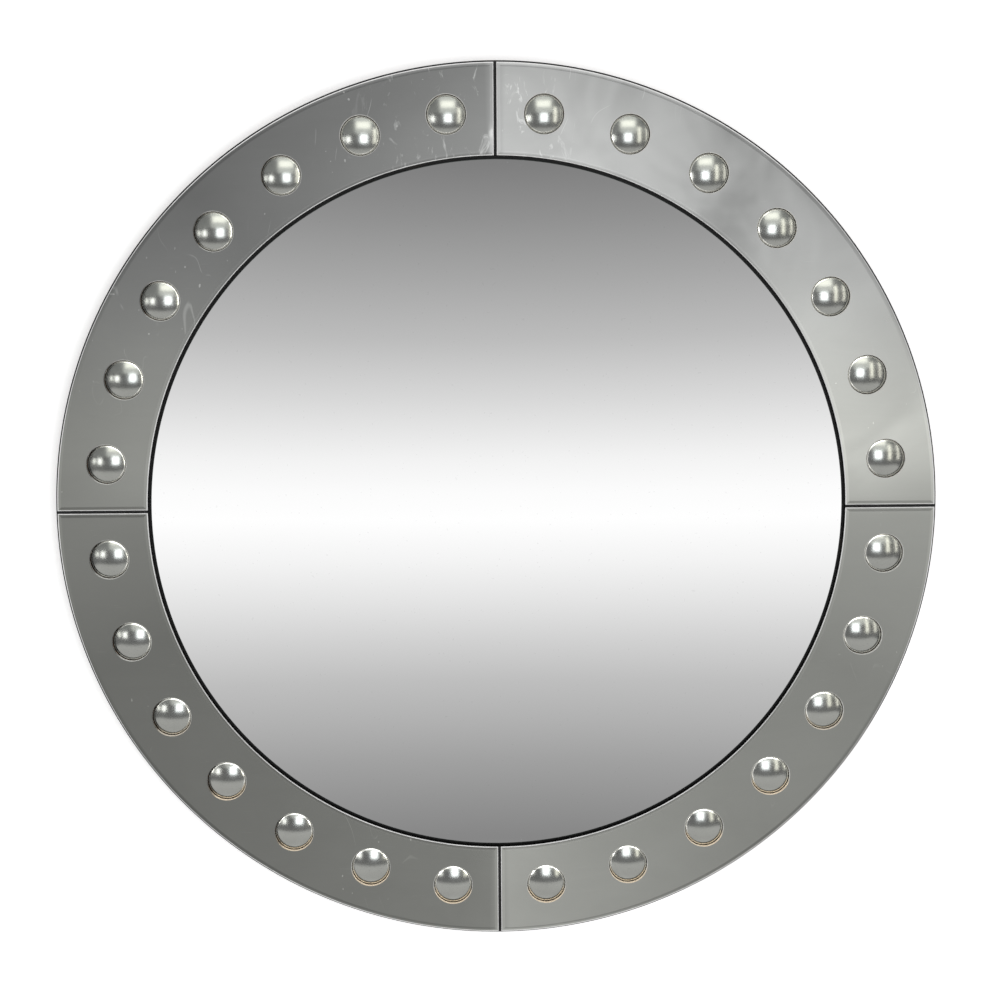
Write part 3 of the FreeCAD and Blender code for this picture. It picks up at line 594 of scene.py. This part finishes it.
def polar_rows_tree():
    """Geometry Nodes tree that sets a piece on a circle in rows, one row for each plate."""
    tree = bpy.data.node_groups.new("polar_rows", "GeometryNodeTree")
    wanted = [
        ("Piece", "NodeSocketGeometry", None), ("Rows", "NodeSocketInt", 4),
        ("Pieces In A Row", "NodeSocketInt", 7), ("Circle Radius", "NodeSocketFloat", 0.4),
        ("Pitch", "NodeSocketFloat", 0.2), ("First Row", "NodeSocketFloat", 0.0),
        ("Finish", "NodeSocketMaterial", None),
    ]
    for name, kind, default in wanted:
        socket = tree.interface.new_socket(name, in_out="INPUT", socket_type=kind)
        if default is not None:
            socket.default_value = default
    tree.interface.new_socket("Piece", in_out="OUTPUT", socket_type="NodeSocketGeometry")
    entry = tree.nodes.new("NodeGroupInput").outputs
    exit_node = tree.nodes.new("NodeGroupOutput")

    def add(kind, sockets, operation=None):
        """Adds a node with its operation and sockets, and returns its first output."""
        node = tree.nodes.new(kind)
        if operation:
            node.operation = operation
        for name, given in sockets.items():
            if isinstance(given, bpy.types.NodeSocket):
                tree.links.new(given, node.inputs[name])
            else:
                node.inputs[name].default_value = given
        return node.outputs[0]

    def maths(operation, first, second=0.0):
        return add("ShaderNodeMath", {0: first, 1: second}, operation)

    rows, per_row = entry["Rows"], entry["Pieces In A Row"]
    index = add("GeometryNodeInputIndex", {})
    row = maths("FLOOR", maths("DIVIDE", maths("ADD", index, 0.5), per_row))
    step = maths("SUBTRACT", maths("SUBTRACT", index, maths("MULTIPLY", row, per_row)),
                 maths("DIVIDE", maths("SUBTRACT", per_row, 1.0), 2.0))
    share = maths("DIVIDE", maths("MULTIPLY", row, 2 * math.pi), rows)
    middle = maths("ADD", share, entry["First Row"])
    angle = maths("ADD", middle, maths("MULTIPLY", step, entry["Pitch"]))
    circle = entry["Circle Radius"]
    across, up = [maths("MULTIPLY", maths(way, angle), circle) for way in ("COSINE", "SINE")]
    place = add("ShaderNodeCombineXYZ", {0: across, 2: up})
    turn = add("ShaderNodeCombineXYZ", {1: maths("MULTIPLY", angle, -1.0)})
    points = add("GeometryNodePoints", {"Count": maths("MULTIPLY", rows, per_row), "Position": place})
    facing = add("FunctionNodeEulerToRotation", {0: turn})
    copies = add("GeometryNodeInstanceOnPoints", {
        "Points": points, "Instance": entry["Piece"], "Rotation": facing})
    real = add("GeometryNodeRealizeInstances", {0: copies})
    coat = add("GeometryNodeSetMaterial", {"Geometry": real, "Material": entry["Finish"]})
    tree.links.new(coat, exit_node.inputs[0])
    return tree


def set_in_rows(piece, rows, per_row, circle, pitch, first_row, material):
    """Repeats a piece drawn at the middle of the mirror, then turns the result into a plain mesh."""
    tree = bpy.data.node_groups.get("polar_rows") or polar_rows_tree()
    modifier = piece.modifiers.new("Rows", "NODES")
    modifier.node_group = tree
    given = {"Rows": rows, "Pieces In A Row": per_row, "Circle Radius": circle, "Pitch": pitch,
             "First Row": first_row, "Finish": material}
    for item in tree.interface.items_tree:
        if item.in_out == "INPUT" and item.name in given:
            modifier[item.identifier] = given[item.name]
    settle(piece)
    piece.data.materials.clear()
    piece.data.materials.append(material)


# ---- border, board and glass

def well_centres(quarter):
    sizes = bpy.context.scene.mirror_sizes
    middle = (sizes.wells_per_plate - 1) / 2
    angles = [math.pi / 4 + quarter * math.pi / 2 + (step - middle) * sizes.well_pitch
              for step in range(sizes.wells_per_plate)]
    return [(sizes.well_circle * math.cos(angle), sizes.well_circle * math.sin(angle)) for angle in angles]


def quarter_loop(inner, outer, gap, depth, quarter):
    """Outline of one plate: outer arc, joint, inner arc, joint."""
    points = []
    for radius, way in ((outer, 1), (inner, -1)):
        lean = math.asin(gap / radius)
        span = math.pi / 2 - 2 * lean
        arc = [lean + span * step / STEPS["arc"] for step in range(STEPS["arc"] + 1)]
        points += [(radius * math.cos(angle), radius * math.sin(angle)) for angle in arc[::way]]
    turn = Matrix.Rotation(quarter * math.pi / 2, 2)
    turned = [turn @ Vector(point) for point in points]
    return [Vector((point.x, -depth, point.y)) for point in turned]


def holed_mesh():
    """Empty bmesh that can mark the lower and left sides of its holes."""
    mesh = bmesh.new()
    for side in ("lower_side", "left_side"):
        mesh.verts.layers.float.new(side)
    return mesh


def cut_hole(mesh, rows, centre, steps, slot):
    """Round wall from (radius, depth) rows, its lower and left sides marked; returns its end loops."""
    loops = [add_loop(mesh, round_loop(radius, depth, steps, centre)) for radius, depth in rows]
    low, left = [mesh.verts.layers.float[side] for side in ("lower_side", "left_side")]
    for loop in loops:
        for point in loop:
            away = (point.co.x - centre[0], point.co.z - centre[1])
            point[left], point[low] = [-side / math.hypot(*away) for side in away]
    for first, second in zip(loops, loops[1:]):
        join_loops(mesh, first, second, slot)
    return loops[0], loops[-1]


class MIRROR_OT_border(bpy.types.Operator):
    """Four bevelled steel plates, each with its row of holes"""
    bl_idname = "mirror.border"
    bl_label = "Steel border"

    def execute(self, context):
        sizes = context.scene.mirror_sizes
        materials = [polished_steel(), hole_edge(), black_paint()]
        crest, arris, rim, arc = 0.0003, sizes.edge_round, sizes.rim_round, STEPS["arc"]
        slope = sizes.bevel_drop / sizes.bevel_width
        edge = sizes.plate_front - sizes.bevel_drop
        outline = [
            (0.0, sizes.plate_back), (0.0, edge - arris), (arris * 0.10, edge - arris * 0.45),
            (arris * 0.42, edge - arris * 0.06), (arris, edge + arris * slope),
            (sizes.bevel_width - crest, sizes.plate_front - crest * slope),
            (sizes.bevel_width + crest, sizes.plate_front),
        ]
        wall = [(sizes.well_radius, sizes.plate_back), (sizes.well_radius, sizes.plate_front - rim)]
        for part in (1, 2, 3):
            turn = part * math.pi / 6
            wall.append((sizes.well_radius + rim * (1 - math.cos(turn)),
                         sizes.plate_front - rim * (1 - math.sin(turn))))
        for quarter, name in enumerate(QUARTERS):
            mesh = holed_mesh()
            rows = [add_loop(mesh, quarter_loop(sizes.plate_inner + inset, sizes.plate_outer - inset,
                                                sizes.plate_joint / 2 + inset, depth, quarter))
                    for inset, depth in outline]
            for number, (first, second) in enumerate(zip(rows, rows[1:])):
                join_loops(mesh, first, second, 2 if number == 0 else 0)
            mark_sharp(mesh, rows, (0, arc, arc + 1, 2 * arc + 1))
            holes = [cut_hole(mesh, wall, centre, STEPS["hole"], 1) for centre in well_centres(quarter)]
            fill_sheet(mesh, [rows[0]] + [back for back, face in holes])
            fill_sheet(mesh, [rows[-1]] + [face for back, face in holes])
            plate = new_piece(f"polished_plate_{name}", mesh, materials)
            stand_for(plate, "mirror", "polished_steel", f"steel_plate_{name}")
        return {"FINISHED"}


class MIRROR_OT_wood_ring(bpy.types.Operator):
    """Black-painted wooden ring with bare wood in its recesses"""
    bl_idname = "mirror.wood_ring"
    bl_label = "Wooden ring"

    def execute(self, context):
        sizes = context.scene.mirror_sizes
        soft = sizes.board_round
        mesh = holed_mesh()

        def pile(profile):
            rows = [add_loop(mesh, round_loop(radius, depth, STEPS["ring"])) for radius, depth in profile]
            for first, second in zip(rows, rows[1:]):
                join_loops(mesh, first, second)
            return rows[0], rows[-1]

        board, seat, bore = sizes.board_radius, sizes.seat_radius, sizes.board_bore
        back, front, floor = sizes.board_back, sizes.board_front, sizes.seat_depth
        outer_back, outer_front = pile([
            (board - soft, back), (board - soft * 0.3, back + soft * 0.3), (board, back + soft),
            (board, front - soft), (board - soft * 0.3, front - soft * 0.3), (board - soft, front)])
        seat_front, bore_back = pile([
            (seat + soft, front), (seat, front - soft), (seat, floor), (bore + soft, floor),
            (bore, floor - soft), (bore, back + soft), (bore + soft, back)])
        centres = [centre for quarter in range(len(QUARTERS)) for centre in well_centres(quarter)]
        wall = [(sizes.recess_radius, front), (sizes.recess_radius, sizes.recess_floor)]
        mouths = []
        for centre in centres:
            mouth, base = cut_hole(mesh, wall, centre, STEPS["recess"], 1)
            mouths.append(mouth)
            mesh.faces.new(base).material_index = 1
        fill_sheet(mesh, [outer_front, seat_front] + mouths)
        fill_sheet(mesh, [outer_back, bore_back])
        ring = new_piece("painted_wood_ring", mesh, [black_paint(), bare_wood()])
        stand_for(ring, "mirror", "painted_wood", "ring_board", sharp=50)
        return {"FINISHED"}


class MIRROR_OT_centre_glass(bpy.types.Operator):
    """Bent sheet of silvered glass"""
    bl_idname = "mirror.centre_glass"
    bl_label = "Centre glass"

    def execute(self, context):
        sizes = context.scene.mirror_sizes
        radius, curve, foot = sizes.glass_radius, sizes.glass_curve, sizes.glass_back
        inner_curve = curve - sizes.glass_thickness
        centre = foot - math.sqrt(inner_curve ** 2 - radius ** 2)
        seam, ground, front_rows, back_rows = 0.0008, 0.0006, 72, 24
        flat = radius - seam

        def arc(bend, rows):
            """Profile of a ball from the mirror's axis to the rim."""
            reach = [flat * row / rows for row in range(rows + 1)]
            return [(across, centre + math.sqrt(bend ** 2 - across ** 2)) for across in reach]

        rim_front = centre + math.sqrt(curve ** 2 - radius ** 2)
        edge = [(radius, rim_front - ground), (radius, foot + ground)]
        profile = arc(curve, front_rows) + edge + arc(inner_curve, back_rows)[::-1]
        slots = [0] * front_rows + [1] * (len(edge) + 1 + back_rows)
        mesh = bmesh.new()
        lathe(mesh, profile, STEPS["ring"], slots=slots)
        glass = new_piece("convex_centre_glass", mesh, [mirror_glass(), glass_edge()])
        stand_for(glass, "mirror", "mirror_glass", "centre_glass", sharp=20)
        return {"FINISHED"}


class MIRROR_OT_small_mirrors(bpy.types.Operator):
    """Small domed mirrors in the holes of the plates"""
    bl_idname = "mirror.small_mirrors"
    bl_label = "Small mirrors"

    def execute(self, context):
        sizes = context.scene.mirror_sizes
        bend, radius, back = sizes.small_curve, sizes.small_radius, sizes.small_back
        edge, soft = back + sizes.small_edge, sizes.small_round
        centre = edge - math.sqrt(bend ** 2 - radius ** 2)
        rows, flat = 20, radius - 2 * soft
        reach = [flat * row / rows for row in range(rows + 1)]
        front = [(across, centre + math.sqrt(bend ** 2 - across ** 2)) for across in reach]
        rim = [(radius - soft / 2, edge), (radius, edge - soft),
               (radius, back + soft), (radius - soft, back)]
        mesh = bmesh.new()
        from_middle = mesh.verts.layers.float.new("from_middle")
        lathe(mesh, front + rim + [(0.0, back)], STEPS["dome"])
        for point in mesh.verts:
            point[from_middle] = math.hypot(point.co.x, point.co.z) / radius
        dome = new_piece("small_convex_mirrors", mesh, [])
        set_in_rows(dome, len(QUARTERS), sizes.wells_per_plate, sizes.well_circle, sizes.well_pitch,
                    math.pi / 4, small_mirror_glass())
        stand_for(dome, "mirror", "mirror_glass", "small_mirrors", sharp=35)
        return {"FINISHED"}


# ---- back

def screw_head(mesh, sizes, foot, tip=None, centre=(0.0, 0.0)):
    """Domed pan head that stands on a face at a depth, towards the wall, with its shank if it has a tip."""
    radius, height = sizes.screw_head_radius, sizes.screw_head_height
    top = foot - height
    crown = [(0.0, top), (radius * 0.30, top + height * 0.01), (radius * 0.55, top + height * 0.07),
             (radius * 0.78, top + height * 0.20), (radius * 0.92, top + height * 0.42),
             (radius, top + height * 0.75), (radius, foot)]
    base = [(0.0, foot)]
    if tip is not None:
        shank, point_length = radius / 2, 0.003
        base = [(shank, foot), (shank, tip - point_length), (shank * 0.2, tip), (0.0, tip)]
    lathe(mesh, crown + base, STEPS["screw"], centre)


def cut_cross(piece, centres, depth):
    """Cross recess in each screw head."""
    narrow, wide, deep = 0.0009, 0.0044, 0.0024
    mesh = bmesh.new()
    for x, z in centres:
        for width, length in ((narrow, wide), (wide, narrow)):
            place = Matrix.Translation((x, -depth, z)) @ Matrix.Diagonal((width, deep, length, 1))
            bmesh.ops.create_cube(mesh, size=1.0, matrix=place)
    data = bpy.data.meshes.new("cross")
    mesh.to_mesh(data)
    mesh.free()
    cutter = linked("cross", data)
    modifier = piece.modifiers.new("Cross", "BOOLEAN")
    modifier.object = cutter
    modifier.operation = "DIFFERENCE"
    modifier.solver = "EXACT"
    modifier.use_self = True
    settle(piece)
    bpy.data.objects.remove(cutter)


class MIRROR_OT_back(bpy.types.Operator):
    """Hardboard back and its ring of screws"""
    bl_idname = "mirror.back"
    bl_label = "Back"

    def execute(self, context):
        sizes = context.scene.mirror_sizes
        low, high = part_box("back_panel")
        back, front, radius, soft = -high.y, -low.y, sizes.panel_radius, sizes.panel_round
        edge = (rounded_corner(radius - soft, back + soft, soft, -math.pi / 2)
                + rounded_corner(radius - soft, front - soft, soft, 0.0))
        inner = [(0.0, front), (radius * 0.5, front), (radius * 0.97, front)]
        outer = [(radius * 0.97, back), (radius * 0.5, back), (0.0, back)]
        mesh = bmesh.new()
        lathe(mesh, outer[::-1] + edge + inner[::-1], STEPS["panel"])
        panel = new_piece("hardboard_back", mesh, [hardboard()])
        stand_for(panel, "mirror", "hardboard", "back_panel")

        mesh = bmesh.new()
        screw_head(mesh, sizes, back)
        screws = new_piece("back_screws", mesh, [])
        cut_cross(screws, [(0.0, 0.0)], back - sizes.screw_head_height)
        set_in_rows(screws, sizes.back_screws, 1, sizes.back_screw_circle, 0.0,
                    math.pi / sizes.back_screws, zinc_plate())
        stand_for(screws, "mirror", "zinc_plated_steel", sharp=35)
        return {"FINISHED"}


class MIRROR_OT_feet(bpy.types.Operator):
    """Four rubber feet that stand on the wall"""
    bl_idname = "mirror.feet"
    bl_label = "Rubber feet"

    def execute(self, context):
        sizes = context.scene.mirror_sizes
        base, wide, soft = -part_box("rubber_feet")[0].y, sizes.foot_base, sizes.foot_round
        dish, dish_radius, lip_radius = 0.0006, 0.0045, 0.0062
        flare_width, flare_height = 0.00025, 0.0008
        lip = rounded_corner(sizes.foot_face - soft, soft, soft, -math.pi / 2)
        face = [(0.0, dish), (dish_radius, dish), (lip_radius, 0.0)]
        flare = [(wide - flare_width, base - flare_height), (wide, base), (0.0, base)]
        mesh = bmesh.new()
        lathe(mesh, face + lip + flare, STEPS["foot"])
        feet = new_piece("wall_feet", mesh, [])
        set_in_rows(feet, 2, 2, sizes.well_circle, 2 * sizes.foot_half_angle, math.pi / 2, black_rubber())
        stand_for(feet, "mirror", "black_rubber", "rubber_feet", sharp=32)
        return {"FINISHED"}


def soften(node, name, width, material):
    """Copy of a solid with its sharp edges rounded."""
    mesh = bmesh.new()
    mesh.from_mesh(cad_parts[node].data)
    bmesh.ops.remove_doubles(mesh, verts=mesh.verts, dist=0.000002)
    bmesh.ops.dissolve_limit(mesh, angle_limit=math.radians(0.4), verts=mesh.verts, edges=mesh.edges)
    for face in mesh.faces:
        face.smooth = True
    piece = new_piece(name, mesh, [material])
    modifier = piece.modifiers.new("Rounding", "BEVEL")
    modifier.width = width
    modifier.segments = 3
    modifier.limit_method = "ANGLE"
    modifier.angle_limit = math.radians(28)
    modifier.harden_normals = True
    modifier.use_clamp_overlap = True
    return settle(piece)


class MIRROR_OT_hangers(bpy.types.Operator):
    """Strap hangers, their rings and screws"""
    bl_idname = "mirror.hangers"
    bl_label = "Hangers"

    def execute(self, context):
        sizes = context.scene.mirror_sizes
        zinc = zinc_plate()
        for side in ("left", "right"):
            strap = soften(f"hanger_strap_{side}", f"strap_{side}", 0.0003, zinc)
            stand_for(strap, "mirror", "zinc_plated_steel", f"hanger_strap_{side}")
            ring = soften(f"hanger_ring_{side}", f"d_ring_{side}", 0.0007, zinc)
            stand_for(ring, f"{side}_ring", "zinc_plated_steel", f"hanger_ring_{side}")

        low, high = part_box("hanger_screws")
        radius = sizes.screw_head_radius
        foot = -high.y + sizes.screw_head_height
        columns, rows = [(near + radius, far - radius) for near, far in ((low.x, high.x), (low.z, high.z))]
        centres = [(x, z) for x in columns for z in rows]
        mesh = bmesh.new()
        for centre in centres:
            screw_head(mesh, sizes, foot, -low.y, centre)
        screws = new_piece("strap_screws", mesh, [zinc])
        cut_cross(screws, centres, -high.y)
        stand_for(screws, "mirror", "zinc_plated_steel", "hanger_screws", sharp=35)
        return {"FINISHED"}


class MIRROR_OT_tapes(bpy.types.Operator):
    """Foam finish for the tapes and pads that hold the plates and mirrors"""
    bl_idname = "mirror.tapes"
    bl_label = "Tapes and pads"

    def execute(self, context):
        foam = foam_tape()
        names = ["glass_pads", "mirror_pads"] + [f"tape_{quarter}" for quarter in QUARTERS]
        for name in names:
            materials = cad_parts[name].data.materials
            materials.clear()
            materials.append(foam)
        return {"FINISHED"}


# ---- studio

def stage_sheet(name, corners, material):
    data = bpy.data.meshes.new(name)
    data.from_pydata(corners, [], [(0, 1, 2, 3)])
    data.materials.append(material)
    linked(name, data)


def studio_white():
    """White sheet that keeps a shadow, is clear from behind, and isn't seen in the mirrors."""
    finish = Finish("studio_white")
    grain = finish.noise(finish.place(), 3.0, 2.0)
    white = finish.scaled((0.90, 0.90, 0.90), 0.99 + 0.02 * grain)
    sheet = finish.node("ShaderNodeBsdfDiffuse", None, {"Color": white})
    camera, glossy = finish.ray_kinds()
    glow = finish.node("ShaderNodeEmission", None, {"Color": (1, 1, 1), "Strength": 0.36 * camera})
    lit = finish.node("ShaderNodeAddShader", None, {0: sheet, 1: glow})
    behind = finish.node("ShaderNodeNewGeometry", out="Backfacing")
    clear = finish.node("ShaderNodeBsdfTransparent")
    hidden = (behind * camera).at_least(glossy)
    return finish.close(finish.node("ShaderNodeMixShader", None, {0: hidden, 1: lit, 2: clear}))


def room():
    """Even light all round; mirrors see a room that is brightest at eye level; white behind all."""
    studio = bpy.context.scene.mirror_studio
    world = bpy.data.worlds.new("room")
    bpy.context.scene.world = world
    world.cycles.sampling_method = "NONE"
    finish = Finish("room", world)
    height = finish.axes(finish.node("ShaderNodeTexCoord", out=0))[2]
    levels = [
        (-1.00, 0.95), (-0.80, 0.90), (-0.74, 0.45), (-0.695, 0.245), (-0.636, 0.30), (-0.572, 0.366),
        (-0.506, 0.451), (-0.437, 0.533), (-0.367, 0.658), (-0.296, 0.80), (-0.224, 0.93), (-0.151, 1.03),
        (-0.100, 1.00), (-0.041, 0.922), (0.069, 0.708), (0.177, 0.521), (0.284, 0.397), (0.387, 0.292),
        (0.490, 0.210), (0.530, 0.55), (0.60, 0.95), (1.00, 0.80),
    ]
    highest, gain = 1.1, 1.15
    stops = [((place + 1) / 2, level / highest) for place, level in levels]
    tones = finish.node("ShaderNodeValToRGB", {"stops": stops}, {0: (height + 1.0) / 2.0})
    camera, glossy = finish.ray_kinds()
    even = (studio.room_light,) * 3
    seen = finish.mixed(glossy, even, finish.scaled(tones, gain))
    colour = finish.mixed(camera, seen, (1, 1, 1))
    light = finish.node("ShaderNodeBackground", None, {"Color": colour, "Strength": 1.0})
    finish.close(light, "ShaderNodeOutputWorld")


def lamp(name, place, aim, width, height, radiance, colour=(1, 1, 1), only_for=None):
    """Rectangular lamp of a given brightness; it shows in no mirror, or only in the pieces it is for."""
    data = bpy.data.lights.new(name, "AREA")
    data.shape = "RECTANGLE"
    data.size = width
    data.size_y = height
    data.energy = radiance * math.pi * width * height
    data.color = colour
    item = linked(name, data)
    item.location = place
    item.rotation_euler = (Vector(aim) - Vector(place)).to_track_quat("-Z", "Y").to_euler()
    if only_for is None:
        item.visible_glossy = False
    else:
        item.light_linking.receiver_collection = only_for


class MIRROR_OT_studio(bpy.types.Operator):
    """Wall, floor, lamps, room and camera"""
    bl_idname = "mirror.studio"
    bl_label = "Studio"

    def execute(self, context):
        scene = context.scene
        studio = scene.mirror_studio
        half, low, back = studio.wall_size / 2, studio.floor_height, studio.wall_gap
        white = studio_white()
        foot = [(-half, back, low), (half, back, low)]
        stage_sheet("wall", foot + [(half, back, half), (-half, back, half)], white)
        stage_sheet("floor", [(-half, -half, low), (half, -half, low)] + foot[::-1], white)

        domes = bpy.data.collections.new("small_mirrors_only")
        domes.objects.link(bpy.data.objects["small_convex_mirrors"])
        size = studio.key_size
        lamp("key", (0.50, -2.5, 0.10), (0, 0, 0), size, size, studio.key_power / (math.pi * size ** 2))
        for name, place, width, height, radiance, colour in DOME_LAMPS:
            lamp(name, place, (0, 0, 0), width, height, radiance, colour, domes)
        lamp("carpet", (0, -2.1, -1.4), (0, -2.1, 0), 6.0, 3.2, 2.8, (1.0, 0.99, 0.96), domes)

        data = bpy.data.cameras.new("camera")
        data.sensor_fit = "HORIZONTAL"
        data.sensor_width = studio.sensor
        data.lens = studio.lens
        camera = linked("camera", data)
        aim = Vector(studio.camera_aim) - Vector(studio.camera_place)
        facing = aim.to_track_quat("-Z", "Y").to_matrix() @ Matrix.Rotation(studio.camera_roll, 3, "Z")
        camera.matrix_world = Matrix.Translation(studio.camera_place) @ facing.to_4x4()
        scene.camera = camera
        room()
        scene.view_settings.view_transform = "Standard"
        return {"FINISHED"}


# ---- add-on

class MIRROR_PT_pieces(bpy.types.Panel):
    """Pieces of the mirror, with their sizes and finishes"""
    bl_idname = "MIRROR_PT_pieces"
    bl_label = "Butler's mirror"
    bl_space_type = "VIEW_3D"
    bl_region_type = "UI"
    bl_category = "Mirror"

    def draw(self, context):
        layout = self.layout
        for operator in OPERATORS:
            layout.operator(operator.bl_idname)
        for group in [getattr(context.scene, name) for name in GROUPS]:
            box = layout.box()
            for name in group.__annotations__:
                box.prop(group, name)


OPERATORS = [MIRROR_OT_border, MIRROR_OT_wood_ring, MIRROR_OT_centre_glass, MIRROR_OT_small_mirrors,
             MIRROR_OT_back, MIRROR_OT_feet, MIRROR_OT_hangers, MIRROR_OT_tapes, MIRROR_OT_studio]
GROUPS = {"mirror_sizes": MirrorSizes, "mirror_finishes": MirrorFinishes, "mirror_studio": MirrorStudio}


def register():
    for item in [*GROUPS.values(), *OPERATORS, MIRROR_PT_pieces]:
        bpy.utils.register_class(item)
    for name, group in GROUPS.items():
        setattr(bpy.types.Scene, name, PointerProperty(type=group))


def unregister():
    for name in GROUPS:
        delattr(bpy.types.Scene, name)
    for item in [MIRROR_PT_pieces, *reversed(OPERATORS), *reversed(GROUPS.values())]:
        bpy.utils.unregister_class(item)


def main():
    register()
    for operator in OPERATORS:
        getattr(bpy.ops.mirror, operator.bl_idname.split(".")[1])()


if __name__ == "__main__":
    main()
